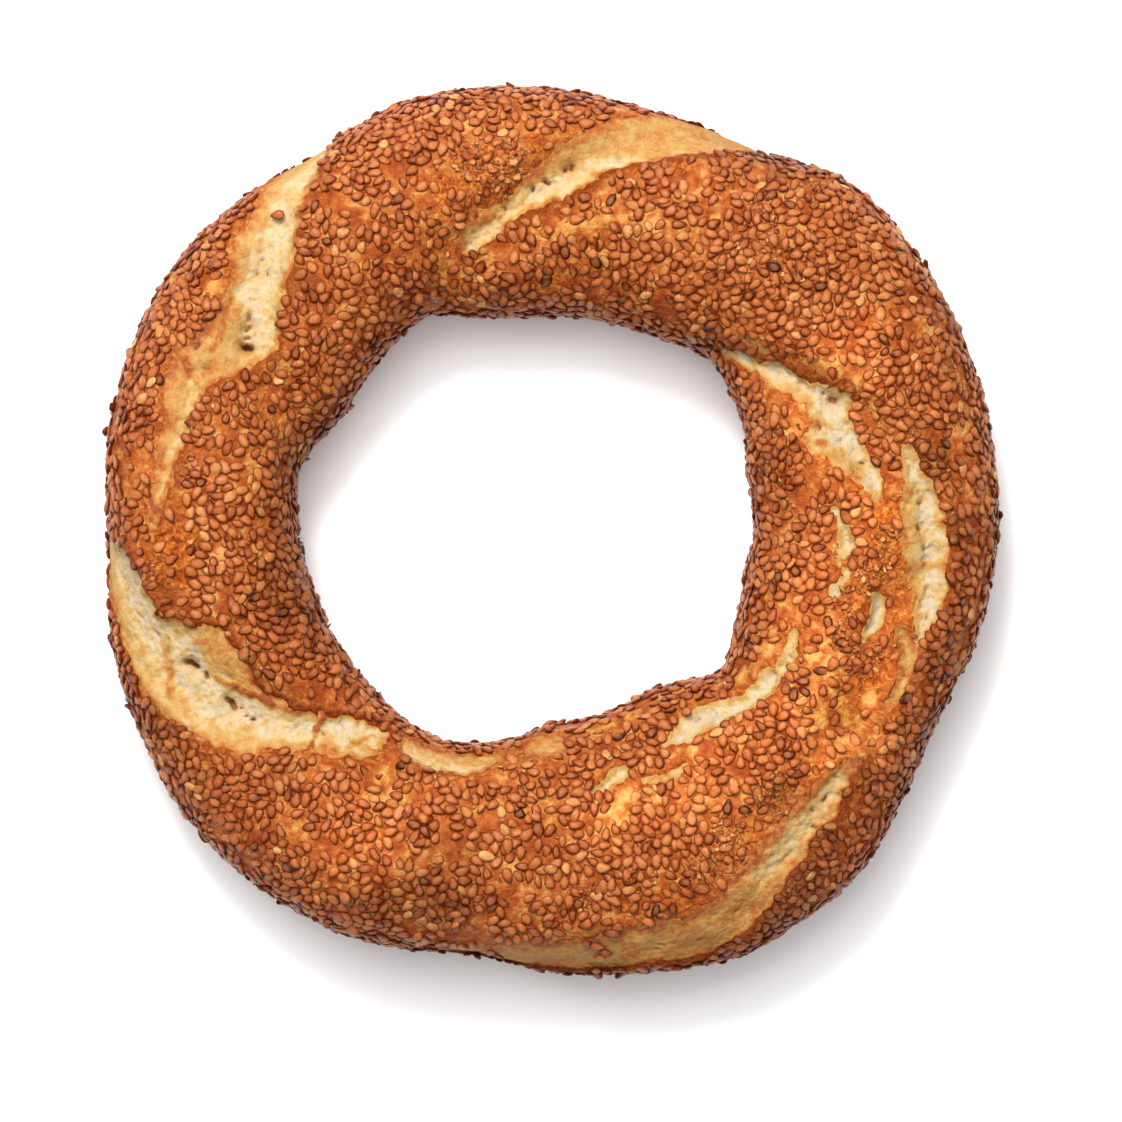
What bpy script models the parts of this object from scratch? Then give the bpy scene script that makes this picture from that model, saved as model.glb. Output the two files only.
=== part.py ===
"""A simit: two ropes of dough twisted round each other, closed into a ring and baked into one piece of bread.

Metres, +Z up. The ring lies flat on z = 0, and the origin is the middle of its box, at the base.
A place on the ring is a direction, in degrees anticlockwise from +X seen from above, and a turn round the
dough, in degrees: 0 is the outer side, 90 the crown, 180 the side of the hole and 270 the base.
"""

import math

import bmesh
import bpy
import numpy as np

MM = 0.001
NODE = "simit_ring"

# The hand-shaped outline: (direction in degrees, outer radius in mm, radius of the hole in mm).
OUTLINE = (
    (0, 87.3, 39.8),
    (15, 87.9, 39.7),
    (30, 89.1, 42.9),
    (46, 89.6, 45.1),
    (62, 84.8, 42.9),
    (76, 84.5, 42.0),
    (92, 86.4, 41.7),
    (108, 87.9, 43.8),
    (121, 87.1, 48.1),
    (135, 88.7, 46.9),
    (150, 90.0, 46.5),
    (167, 88.2, 50.3),
    (182, 86.9, 48.8),
    (200, 88.8, 46.9),
    (221, 90.6, 46.6),
    (240, 89.0, 46.2),
    (260, 84.9, 41.2),
    (272, 86.6, 37.6),
    (297, 90.9, 36.8),
    (310, 90.2, 39.0),
    (321, 87.0, 42.9),
    (335, 84.2, 40.2),
    (348, 86.0, 38.9),
)

# Where the two seams between the ropes run: (direction, turn) in degrees. Each seam makes two whole
# turns round the dough while it goes once round the ring, and is about half a turn from the other.
SEAM_TURNS = 2
SEAM_ONE = (
    (62, 0),
    (80, 57),
    (98, 96),
    (110, 125),
    (118, 180),
    (182, 360),
    (200, 415),
    (218, 464),
    (230, 505),
    (238, 540),
)
SEAM_TWO = (
    (121, 0),
    (134, 58),
    (148, 88),
    (170, 180),
    (258, 360),
    (290, 398),
    (312, 426),
    (360, 428),
    (385, 465),
    (404, 510),
    (412, 540),
)

# The section of the dough.
CROWN_HEIGHT = 34.0 * MM  # the usual height of the ring
STACK_RISE = 1.4 * MM  # higher by this where one rope lies on the other, lower where they lie abreast
WIDEST_AT = 0.45  # the share of the height at which the dough is widest
BASE_CUT = 1.28  # how far the section would reach below its widest line, against where the tray cuts it
SECTION_POWER = 2.25  # 2 is an ellipse, more is squarer
TRAY_ROUND = 1.2 * MM  # the rounding where the side meets the flat base

# The valley along each seam. It is steeper on the side it turns away from, where one rope lies over the other.
SEAM_DEPTH = 3.4 * MM
SEAM_HALF_WIDTH = 8.5 * MM
SEAM_LEAN = 0.3
SIDE_SHARE = 0.35  # the share of that depth left at the outer side and in the hole, which the outline shows

# Where the crust tore open in the oven, each a path of (direction, turn, half width in mm).
TEARS = {
    "top": ((62, 4, 4.5), (73, 36, 6.5), (81, 60, 5.0), (90, 83, 3.0), (104, 107, 2.0)),
    "upper left": ((123, 5, 4.5), (127, 35, 6.0), (133, 55, 5.5), (142, 78, 6.5), (150, 84, 6.5)),
    "left": ((150, 84, 5.0), (157, 70, 5.0), (168, 73, 3.5), (178, 65, 1.5)),
    "lower left": ((183, 12, 3.0), (192, 38, 5.5), (202, 62, 7.5), (214, 96, 6.0), (226, 125, 4.0), (236, 145, 3.0)),
    "lower right": ((262, 12, 2.0), (284, 34, 6.5), (300, 53, 6.5), (312, 65, 4.5), (323, 62, 2.0)),
    "right": ((345, 58, 1.5), (358, 66, 4.5), (372, 77, 4.0), (380, 106, 4.5), (395, 129, 3.5), (405, 151, 1.5)),
    "hole side": ((298, 128, 1.5), (308, 134, 4.0), (320, 131, 3.5), (330, 121, 2.5), (338, 120, 1.0)),
}
TEAR_DEPTH = 1.5 * MM

SECTIONS = 136  # cuts round the ring
STRIPS = 36  # faces round each cut

CRUST_COLOUR = (0.42, 0.135, 0.036, 1.0)
CRUST_ROUGHNESS = 0.5


def slopes(x, y):
    """The slope of a smooth curve at each of its points, none of them steeper than its sides allow."""
    step = np.diff(y) / np.diff(x)
    inner = np.where(step[:-1] * step[1:] > 0, 2 * step[:-1] * step[1:] / (step[:-1] + step[1:] + 1e-12), 0)
    return np.concatenate([[step[0]], inner, [step[-1]]])


def smooth(x, y, at):
    """A curve through the points x, y that never overshoots them, read at at."""
    slope = slopes(x, y)
    i = np.clip(np.searchsorted(x, at, side="right") - 1, 0, len(x) - 2)
    width = x[i + 1] - x[i]
    t = (at - x[i]) / width
    start, end = y[i], y[i + 1]
    return (
        start * (1 + 2 * t) * (1 - t) ** 2
        + end * (3 - 2 * t) * t**2
        + width * (slope[i] * t * (1 - t) ** 2 - slope[i + 1] * (1 - t) * t**2)
    )


def round_ring(points, direction, gain=0.0):
    """points, (direction, value), read at direction. The value grows by gain with each trip round."""
    x, y = np.array(points, float).T
    x = np.concatenate([x - 360, x, x + 360])
    y = np.concatenate([y - gain, y, y + gain])
    order = np.argsort(x)
    trips = np.floor(direction / 360)
    return smooth(x[order], y[order], direction - 360 * trips) + gain * trips


def outline(direction):
    """The outer radius and the hole's radius, in metres."""
    outer = round_ring([(d, out) for d, out, _ in OUTLINE], direction)
    hole = round_ring([(d, inn) for d, _, inn in OUTLINE], direction)
    return outer * MM, hole * MM


def seams(direction):
    """The turn of each seam in degrees, the second one less than a whole turn ahead of the first."""
    one = round_ring(SEAM_ONE, direction, gain=360 * SEAM_TURNS)
    two = round_ring(SEAM_TWO, direction, gain=360 * SEAM_TURNS)
    return one, one + (two - one) % 360


def seam_valley(direction, turn, middle, half_width):
    """How deep the seams' valleys are at a place, in metres."""
    depth = np.zeros_like(turn)
    for seam, ahead in zip(seams(direction), seams(direction + 1)):
        pitch = ((ahead - seam + 180) % 360 - 180) * half_width / middle
        away = ((turn - seam + 180) % 360 - 180) * np.radians(half_width) / np.sqrt(1 + pitch**2)
        away = away / SEAM_HALF_WIDTH
        depth += np.clip(1 - (away / (1 + SEAM_LEAN * np.sign(away))) ** 2, 0, 1) ** 1.5
    share = SIDE_SHARE + (1 - SIDE_SHARE) * np.sin(np.radians(turn)) ** 2
    return SEAM_DEPTH * share * depth


def tear_hollow(direction, turn, middle, half_width, path):
    """How deep one tear is at a place, in metres: a trough along path."""
    hollow = np.zeros_like(turn)
    along = np.radians(middle + half_width * np.cos(np.radians(turn)))
    round_dough = np.radians(half_width)
    turn = (turn + 90) % 360 - 90
    for (d0, t0, w0), (d1, t1, w1) in zip(path[:-1], path[1:]):
        x = ((direction - d0 + 180) % 360 - 180) * along
        y = (turn - t0) * round_dough
        to_x, to_y = (d1 - d0) * along, (t1 - t0) * round_dough
        share = np.clip((x * to_x + y * to_y) / (to_x**2 + to_y**2), 0, 1)
        away = np.hypot(x - share * to_x, y - share * to_y)
        reach = (w0 + (w1 - w0) * share) * MM * 1.3
        hollow = np.maximum(hollow, np.clip(1 - (away / reach) ** 2, 0, 1))
    return TEAR_DEPTH * hollow


def surface(direction, turn):
    """The points of the dough's surface at arrays of directions and turns, in degrees."""
    outer, hole = outline(direction)
    middle, half_width = (outer + hole) / 2, (outer - hole) / 2
    stacked = np.cos(2 * np.radians(seams(direction)[0]))
    height = CROWN_HEIGHT + STACK_RISE * stacked
    widest = WIDEST_AT * height

    across, up = np.cos(np.radians(turn)), np.sin(np.radians(turn))
    reach = np.where(up > 0, height - widest, widest * BASE_CUT)
    rise = (1 - np.abs(across) ** SECTION_POWER) ** (1 / SECTION_POWER)
    out_across = np.sign(across) * np.abs(across) ** (SECTION_POWER - 1) / half_width
    out_up = np.sign(up) * rise ** (SECTION_POWER - 1) / reach
    length = np.hypot(out_across, out_up)

    sunk = seam_valley(direction, turn, middle, half_width)
    for path in TEARS.values():
        sunk = sunk + tear_hollow(direction, turn, middle, half_width, path)
    r = middle + half_width * across - sunk * out_across / length
    z = widest + np.sign(up) * reach * rise - sunk * out_up / length
    near_tray = np.clip(z + TRAY_ROUND, 0, 2 * TRAY_ROUND) ** 2 / (4 * TRAY_ROUND)
    z = np.where(z > TRAY_ROUND, z, near_tray)
    angle = np.radians(direction)
    return np.stack([r * np.cos(angle), r * np.sin(angle), z], axis=-1)


def ring_mesh(name):
    direction, turn = np.meshgrid(
        np.arange(SECTIONS) * 360 / SECTIONS, np.arange(STRIPS) * 360 / STRIPS, indexing="ij"
    )
    points = surface(direction, turn)
    low, high = points.min(axis=(0, 1)), points.max(axis=(0, 1))
    points -= ((low + high) / 2 * (1, 1, 0)) + low * (0, 0, 1)

    bm = bmesh.new()
    rings = [[bm.verts.new(point) for point in section] for section in points]
    for here, there in zip(rings, rings[1:] + rings[:1]):
        for k in range(STRIPS):
            after = (k + 1) % STRIPS
            bm.faces.new((here[k], here[after], there[after], there[k]))
    bmesh.ops.recalc_face_normals(bm, faces=bm.faces)
    mesh = bpy.data.meshes.new(name)
    bm.to_mesh(mesh)
    bm.free()
    mesh.shade_smooth()
    return mesh


def baked_crust():
    material = bpy.data.materials.new("sesame_crust")
    material.use_nodes = True
    shader = material.node_tree.nodes["Principled BSDF"]
    shader.inputs["Base Color"].default_value = CRUST_COLOUR
    shader.inputs["Roughness"].default_value = CRUST_ROUGHNESS
    shader.inputs["Metallic"].default_value = 0.0
    return material


def main():
    for old in list(bpy.data.objects):
        bpy.data.objects.remove(old)
    ring = bpy.data.objects.new(NODE, ring_mesh(NODE))
    ring.data.materials.append(baked_crust())
    bpy.context.scene.collection.objects.link(ring)


main()
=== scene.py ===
"""The looks of a baked simit: its crust, the crumb in its tears and its coat of toasted sesame.

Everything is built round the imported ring, in metres, +Z up. As in the part's own source, a place on the
bread is a direction, in degrees anticlockwise from +X seen from above, and a turn round the dough, in
degrees: 0 is the outer side, 90 the crown, 180 the side of the hole and 270 the base.
"""

import math

import bpy
import numpy as np
from mathutils import Matrix, Vector, kdtree, noise


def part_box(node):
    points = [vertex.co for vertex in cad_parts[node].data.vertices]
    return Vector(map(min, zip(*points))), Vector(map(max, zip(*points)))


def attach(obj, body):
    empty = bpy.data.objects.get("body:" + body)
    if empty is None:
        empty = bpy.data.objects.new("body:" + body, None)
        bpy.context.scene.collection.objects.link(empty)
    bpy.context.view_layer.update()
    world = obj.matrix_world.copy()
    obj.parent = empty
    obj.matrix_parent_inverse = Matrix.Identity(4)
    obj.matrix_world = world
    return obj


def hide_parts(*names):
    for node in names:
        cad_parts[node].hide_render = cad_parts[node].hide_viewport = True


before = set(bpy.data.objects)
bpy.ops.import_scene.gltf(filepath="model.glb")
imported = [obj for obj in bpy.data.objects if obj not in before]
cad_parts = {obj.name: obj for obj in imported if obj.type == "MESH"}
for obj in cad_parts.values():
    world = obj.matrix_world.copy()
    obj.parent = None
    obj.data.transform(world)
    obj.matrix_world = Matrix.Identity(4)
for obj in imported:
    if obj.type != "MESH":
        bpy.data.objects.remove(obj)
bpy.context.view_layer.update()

MM = 0.001
RING = "simit_ring"

# ---------------------------------------------------------------------------------------------------------
# The shape of the dough, as the solid has it
# ---------------------------------------------------------------------------------------------------------

# The hand-shaped outline: (direction in degrees, outer radius in mm, radius of the hole in mm).
OUTLINE = (
    (0, 87.3, 39.8),
    (15, 87.9, 39.7),
    (30, 89.1, 42.9),
    (46, 89.6, 45.1),
    (62, 84.8, 42.9),
    (76, 84.5, 42.0),
    (92, 86.4, 41.7),
    (108, 87.9, 43.8),
    (121, 87.1, 48.1),
    (135, 88.7, 46.9),
    (150, 90.0, 46.5),
    (167, 88.2, 50.3),
    (182, 86.9, 48.8),
    (200, 88.8, 46.9),
    (221, 90.6, 46.6),
    (240, 89.0, 46.2),
    (260, 84.9, 41.2),
    (272, 86.6, 37.6),
    (297, 90.9, 36.8),
    (310, 90.2, 39.0),
    (321, 87.0, 42.9),
    (335, 84.2, 40.2),
    (348, 86.0, 38.9),
)

# Where the two seams between the ropes run: (direction, turn) in degrees, with two whole turns for each
# trip round the ring.
SEAM_TURNS = 2
SEAM_ONE = (
    (62, 0),
    (80, 57),
    (98, 96),
    (110, 125),
    (118, 180),
    (182, 360),
    (200, 415),
    (218, 464),
    (230, 505),
    (238, 540),
)
SEAM_TWO = (
    (121, 0),
    (134, 58),
    (148, 88),
    (170, 180),
    (258, 360),
    (290, 398),
    (312, 426),
    (360, 428),
    (385, 465),
    (404, 510),
    (412, 540),
)

CROWN_HEIGHT = 34.0 * MM
STACK_RISE = 1.4 * MM
WIDEST_AT = 0.45
BASE_CUT = 1.28
SECTION_POWER = 2.25
TRAY_ROUND = 1.2 * MM
SEAM_DEPTH = 3.4 * MM
SEAM_HALF_WIDTH = 8.5 * MM
SEAM_LEAN = 0.3
SIDE_SHARE = 0.35

# A seam's depth is taken mostly straight down, so that what lies on it keeps its place seen from above.
STEEP_SIDE = 0.15

# ---------------------------------------------------------------------------------------------------------
# What lies where on the bread, in the same directions and turns
# ---------------------------------------------------------------------------------------------------------

# How softly the crust goes over into the crumb at a tear's edge of low turn and at its edge of high turn: 0 is
# a broken, curled lip, 1 is crust that only stretched thin.
SOFT_EDGES = {
    "top": (1.0, 0.15),
    "upper left": (0.75, 0.35),
    "lower left": (0.6, 0.1),
    "hole, lower left": (0.6, 0.6),
    "hole, below": (0.7, 0.7),
    "lower right": (0.1, 0.85),
    "finger": (0.4, 0.6),
    "right": (0.3, 0.85),
    "right, to the hole": (0.35, 0.85),
    "crack": (0.4, 0.5),
    "crack, right": (0.5, 0.5),
    "crack, right below": (0.5, 0.5),
    "hole, lower right": (0.4, 0.7),
    "crack, below": (0.5, 0.5),
    "crack, below right": (0.5, 0.5),
}

# How brown the crumb dried in each tear, from 0, white, to 1, toasted.
DRIED = {
    "top": 0.50,
    "upper left": 0.44,
    "lower left": 0.32,
    "hole, lower left": 0.45,
    "hole, below": 0.52,
    "lower right": 0.60,
    "finger": 0.45,
    "right": 0.22,
    "right, to the hole": 0.12,
    "crack": 0.12,
    "crack, right": 0.12,
    "crack, right below": 0.15,
    "hole, lower right": 0.14,
    "crack, below": 0.25,
    "crack, below right": 0.25,
}

# The share of the seam's depth that the risen crumb fills at a tear.
RISEN = {
    "top": 0.25,
    "upper left": 0.4,
    "lower left": 0.45,
    "lower right": 0.85,
    "finger": 0.5,
    "right": 0.35,
    "hole, lower right": 0.5,
}

# Where the crust tore open in the oven: (direction, the turns of the tear's two edges there).
TEARS = {
    "top": (
        (60, -8, 5), (62, -8, 20), (65, -8, 32), (67, -4, 42), (70, 3, 48), (73, 10, 56), (76, 19, 63),
        (80, 34, 70), (83, 45, 80), (86, 55, 87), (90, 70, 95), (95, 85, 98), (100, 97, 110),
        (105, 103, 118), (108, 110, 121),
    ),
    "upper left": (
        (119, -3, 5), (120, -5, 22), (122, -5, 35), (124, -3, 45), (127, 5, 53), (130, 20, 67),
        (132, 35, 75), (136, 43, 84), (139, 48, 90), (142, 62, 95), (144, 66, 102), (147, 68, 104),
        (150, 65, 100), (153, 60, 95), (157, 58, 85), (160, 59, 81), (165, 65, 80), (170, 67, 79),
        (173, 65, 78), (176, 62, 71), (180, 60, 66),
    ),
    "lower left": (
        (180, -4, 20), (182, -4, 33), (184, -2, 43), (187, 5, 50), (190, 20, 55), (192, 22, 60),
        (194, 24, 73), (196, 27, 87), (197, 29, 96), (201, 35, 99), (205, 44, 102), (210, 59, 104), (213, 70, 109),
        (216, 77, 115), (219, 95, 125), (222, 105, 135), (226, 113, 142), (229, 121, 148), (232, 125, 152),
    ),
    "hole, lower left": ((234, 142, 156), (238, 139, 158), (248, 138, 160), (255, 140, 158), (257, 148, 156)),
    "hole, below": ((263, 146, 158), (268, 141, 160), (273, 142, 156)),
    "lower right": (
        (254, -4, 8), (257, -4, 16), (260, -4, 26), (263, -3, 34), (266, -2, 38), (270, 6, 41),
        (275, 12, 46), (280, 18, 50), (283, 23, 52), (288, 21, 53), (291, 22, 54), (294, 28, 57),
        (298, 36, 63), (301, 40, 67), (304, 47, 70), (307, 50, 72), (311, 58, 73), (315, 56, 74),
        (318, 61, 74), (321, 62, 71), (324, 59, 63),
    ),
    "finger": ((331, 57, 61), (333, 53, 60), (338, 52, 60), (341, 55, 66), (343, 62, 71), (344.5, 67, 71)),
    "right": (
        (343, 56, 60), (346, 53, 63), (349, 50, 66), (353, 52, 73), (358, 55, 79), (363, 60, 79),
        (368, 66, 78), (373, 71, 75),
    ),
    "right, to the hole": (
        (365.5, 89, 92), (367.5, 88.7, 95), (370, 90, 102), (373.5, 92, 109), (376, 93.5, 114),
        (378, 96, 121), (379.5, 97, 123.5), (381, 96.5, 119), (382.3, 96, 117), (384, 95.5, 117),
        (386, 100, 119), (389.5, 110.5, 124), (393, 117, 133), (397.3, 129, 140.5), (401, 138, 147),
        (405, 149, 154),
    ),
    "crack": ((340.5, 84.5, 85.5), (342, 82.5, 86), (344, 81, 86.5), (346, 80, 87), (348, 80.5, 88), (349.3, 83, 86)),
    "crack, right": (
        (353, 106, 108), (355, 104, 109), (356.5, 102, 107.5), (358, 102.5, 110), (360, 105, 110.5),
        (362, 108.5, 112), (364, 111.5, 113),
    ),
    "crack, right below": (
        (346.5, 105, 106.5), (348.5, 104, 107), (350.5, 101.5, 105), (352.5, 101.5, 105.5), (353.2, 102.5, 104),
    ),
    "hole, lower right": (
        (297, 128, 131), (302, 127, 136), (306, 127, 141), (310, 127, 143), (315, 128, 142),
        (320, 125, 137), (325, 123, 133), (329, 118, 126), (333, 116, 122), (338, 120, 122),
    ),
    "crack, below": ((278, 117, 119), (282, 117, 122), (285, 120, 127), (288, 123, 127)),
    "crack, below right": ((290, 116, 118), (294, 113, 118), (298, 112, 117), (300, 115, 119)),
}

# The whitest, most torn crumb inside them: (direction, the turns of its two edges there).
PALE_CRUMB = {
    "top": ((76, 60, 62), (80, 61, 69), (84, 68, 80), (88, 74, 89), (92, 82, 95), (97, 92, 103), (102, 100, 112),
            (106, 106, 116)),
    "upper left": ((121, 15, 25), (126, 25, 45), (130, 36, 62), (134, 52, 76), (139, 60, 88), (143, 68, 99),
                   (146, 80, 102), (149, 84, 100)),
    "left": ((156, 70, 80), (162, 72, 80), (168, 71, 79), (175, 65, 73)),
    "lower left": ((183, 12, 38), (187, 22, 48), (192, 34, 58), (197, 46, 76), (202, 58, 86), (207, 66, 93),
                   (212, 76, 101), (217, 96, 114), (223, 112, 134), (230, 130, 148)),
    "hole, lower left": ((236, 142, 149), (248, 139, 148), (254, 141, 146)),
    "lower right": ((300, 52, 60), (306, 56, 68), (312, 60, 71), (320, 63, 73)),
    "right": ((348, 54, 61), (355, 57, 67), (362, 62, 73), (370, 69, 75)),
    "right, to the hole": ((367, 90, 94), (372, 92, 103), (377, 95, 108), (382, 97, 112), (386, 101, 116),
                           (390, 111, 122), (395, 121, 134), (402, 139, 148)),
    "hole, lower right": ((302, 129, 135), (310, 128, 141), (320, 126, 136), (330, 118, 124)),
    "cracks": ((341, 81, 86), (348, 80, 88)),
    "crack, right": ((347, 102, 106), (357, 102, 109), (363, 109, 114)),
    "crack, below": ((278, 117, 120), (287, 121, 127)),
    "crack, below right": ((290, 115, 118), (299, 113, 118)),
}

# Crumb that dried browner or stayed whiter than the rest of its tear: (direction, turn, reach in mm, how much
# browner).
BROWNER_CRUMB = (
    (201, 91, 5.0, 0.22), (206, 97, 4.0, 0.26), (198, 86, 3.0, 0.30), (211, 104, 3.0, 0.30), (224, 116, 3.0, 0.22),
    (228, 130, 2.5, 0.25), (189, 24, 3.5, 0.15), (214, 84, 2.5, 0.15), (150, 64, 4.0, 0.30), (146, 72, 3.0, 0.20),
    (157, 62, 4.0, 0.30), (155, 78, 3.0, 0.22), (164, 70, 4.0, 0.26), (171, 71, 4.0, 0.30), (177, 67, 3.5, 0.32),
    (141, 58, 3.0, 0.26), (133, 45, 3.0, 0.15), (64, 5, 5.0, 0.12), (70, 20, 4.0, 0.08), (72, 46, 3.0, -0.15),
    (78, 62, 2.5, -0.2), (262, 10, 4.0, 0.12), (270, 20, 4.0, 0.1), (353, 71, 3.5, 0.25), (359, 75, 4.0, 0.22),
    (365, 75, 3.5, 0.22), (375, 106, 2.5, 0.35), (371, 99, 2.2, 0.4), (382, 113, 2.2, 0.4), (386, 117, 2.0, 0.3),
)

# Narrow strands of crust or browned crumb in the tears: (the ends' directions and turns, half the width in
# mm, how much browner, how high in mm).
STRANDS = (
    (197, 59, 200.5, 57.5, 1.3, 0.35, 0.0),
    (200.5, 57.5, 203.5, 53.5, 1.0, 0.30, 0.0),
    (219.3, 126, 220.4, 117, 0.5, 0.70, 0.35),
    (220.4, 117, 222.2, 107, 0.45, 0.65, 0.30),
    (204, 83, 208.7, 96.4, 0.8, 0.45, 0.30),
    (208.7, 96.4, 216, 114, 0.6, 0.45, 0.25),
    (213, 84, 214, 96, 0.5, 0.30, 0.1),
    (148, 74, 152, 75, 0.8, 0.35, 0.1),
    (155, 64, 158, 78, 0.7, 0.35, 0.2),
    (227, 122, 229, 140, 0.5, 0.4, 0.2),
    (19.3, 122, 17.2, 111, 0.9, 0.50, 0.15),
    (22.3, 118, 20.5, 107, 0.5, 0.35, 0.1),
    (354.6, 66, 354.7, 51, 0.9, 0.35, 0.25),
    (347, 62, 349, 52, 0.5, 0.25, 0.15),
)

# Wide shallow hollows in the crumb, painted with shade as well: (direction, turn, reach in mm, depth in mm).
HOLLOWS = (
    (24.5, 103.6, 2.6, 0.6), (29.6, 118.7, 2.0, 0.4), (4.7, 64, 3.2, 0.5), (356.8, 61, 2.2, 0.4),
    (350.6, 57.4, 2.6, 0.5), (201, 71, 2.6, 0.6), (209, 86, 3.2, 0.6), (195, 55, 2.6, 0.4), (222, 118, 2.6, 0.4),
    (146, 85, 2.6, 0.5), (149.2, 90, 2.0, 0.6), (139, 72, 2.6, 0.4), (87, 73, 2.2, 0.5), (97, 96, 2.2, 0.4),
    (14, 98, 2.0, 0.4), (310, 135, 2.4, 0.4), (303, 132, 2.2, 0.4),
)

# Open pores in the crumb, painted dark inside and with painted shade round them: (direction, turn, radius in mm,
# depth in mm).
PORES = (
    (86.6, 72, 0.7, 1.4), (87.6, 74, 0.6, 1.2), (90.6, 82, 0.7, 1.4), (93, 86, 0.5, 1.2), (79.6, 62, 1.0, 0.5),
    (98, 96, 0.5, 0.9), (100, 100, 0.4, 0.8), (149, 91, 0.9, 2.4), (149.4, 89, 0.7, 2.2), (146.5, 85, 0.8, 0.9),
    (145, 82, 0.8, 0.8), (147.8, 87.5, 0.7, 1.0), (152.6, 66, 0.8, 1.4), (155, 77, 0.7, 0.8), (137, 64, 0.4, 0.9),
    (139, 68, 0.5, 0.8), (138, 73, 0.4, 0.9), (200.2, 70, 0.9, 2.4), (201, 73, 0.8, 2.4), (203, 78, 0.7, 1.4),
    (209, 85, 1.0, 1.5), (208, 84, 0.9, 1.2), (210, 88.5, 0.3, 1.3), (211.6, 89, 0.3, 1.2), (212.6, 91, 0.4, 1.5),
    (197.5, 60, 0.7, 0.6), (195, 54, 0.8, 0.5), (222, 119, 0.4, 1.0), (218, 108, 0.6, 0.5), (284, 33, 0.5, 1.0),
    (290, 35, 0.5, 0.9), (285, 37, 0.4, 0.9), (296, 45, 0.4, 0.8), (299, 62, 0.4, 0.8), (311.5, 60, 0.5, 1.0),
    (315.5, 66, 0.7, 0.9), (313, 67, 0.6, 0.8), (319, 69, 0.4, 0.9), (279, 42, 0.5, 0.7), (293, 49, 0.4, 0.7),
    (12, 96, 0.5, 1.0), (24.6, 104, 1.0, 1.0), (20.6, 113, 0.5, 1.0), (30, 111, 0.5, 1.0), (17, 104, 0.5, 0.6),
    (26.5, 108, 0.5, 0.8), (0, 71, 0.5, 1.0), (4, 70, 0.6, 0.8), (357, 67, 0.5, 0.7), (332, 119, 0.3, 0.8),
    (308, 138, 0.6, 0.7), (346.8, 57, 0.4, 0.8),
)

# Smooth golden crust with hardly a seed on it: (direction, turn, reach in mm).
BARE_CRUST = (
    (283, 106, 3.6), (281, 101, 2.6), (286, 111, 2.6), (325, 92, 2.0), (326, 98, 2.4), (325, 105, 2.2),
    (301, 121, 2.4), (29, 101, 2.8), (32, 108, 2.6), (17, 114, 3.2), (21, 120, 2.8), (24, 122, 2.4),
    (158, 133, 2.2), (160, 142, 1.8), (246, 83, 1.6), (251, 84, 1.8), (256, 91, 1.8), (261, 92, 1.6),
    (87, 106, 2.4), (83, 102, 2.0), (112, 121, 2.0), (236, 118, 1.8), (241, 116, 1.6), (282, 152, 2.4),
    (277, 150, 2.4), (286, 155, 2.2), (294, 157, 2.4), (326, 139, 2.4), (322, 147, 2.6), (318, 152, 2.2),
    (331, 134, 1.8), (57, 101, 1.6), (329, 84, 2.0), (104, 122, 2.2), (170, 33, 1.4), (166, 24, 1.4),
    (326, 68, 3.0), (328, 78, 2.6), (332, 71, 2.2), (330, 62, 2.0), (286, 116, 2.0), (200, 92, 3.0),
    (204, 98, 2.4), (197, 86, 2.6), (345, 68, 1.6), (352, 78, 1.4), (338, 104, 1.6), (334, 108, 1.6),
    (292, 108, 1.8), (80, 98, 2.2), (92, 108, 2.2), (69, 76, 1.6), (129, 94, 1.4), (62, 80, 1.4),
    (21, 84, 1.8), (15, 80, 1.6), (172, 76, 1.6),
)

# Shiny orange-brown glaze with few seeds: (direction, turn, reach in mm).
GLAZE = (
    (183, 72, 5.0), (187, 66, 4.0), (181, 82, 4.5), (187, 80, 4.0), (176, 87, 3.0), (98, 72, 5.0),
    (103, 78, 5.5), (107, 84, 4.0), (66, 46, 2.6), (70, 56, 2.6), (75, 68, 3.0), (64, 36, 2.6), (62, 24, 2.6),
    (338, 68, 4.0), (334, 74, 4.5), (328, 74, 4.0), (345, 72, 4.0), (351, 82, 4.5), (352, 92, 4.5),
    (357, 88, 4.5), (3, 87, 4.0), (9, 85, 2.6), (311, 80, 4.5), (317, 80, 4.0), (303, 77, 3.5), (345, 93, 3.0),
    (290, 62, 3.0), (282, 60, 2.5), (34, 113, 2.6), (326, 66, 2.4), (134, 78, 1.8), (149, 56, 1.8),
    (92, 62, 3.0), (214, 118, 2.0),
)

# Crushed seeds baked into the crust: (direction, turn, reach in mm).
CRUSHED = (
    (299, 78, 6.5), (294, 74, 5.0), (284, 76, 4.0), (276, 68, 4.0), (310, 82, 5.0), (47, 78, 6.5), (53, 85, 5.5),
    (56, 68, 5.5), (47, 93, 4.5), (52, 34, 4.0), (103, 68, 6.0), (99, 80, 6.0), (95, 70, 4.0), (341, 95, 4.5),
    (346, 101, 4.0), (170, 84, 3.0), (164, 87, 3.0), (192, 62, 2.5), (186, 56, 3.0), (351, 90, 5.0),
    (358, 84, 4.0), (14, 72, 3.0), (219, 30, 4.0), (292, 28, 5.0), (303, 42, 4.0), (338, 82, 5.0),
)
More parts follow.
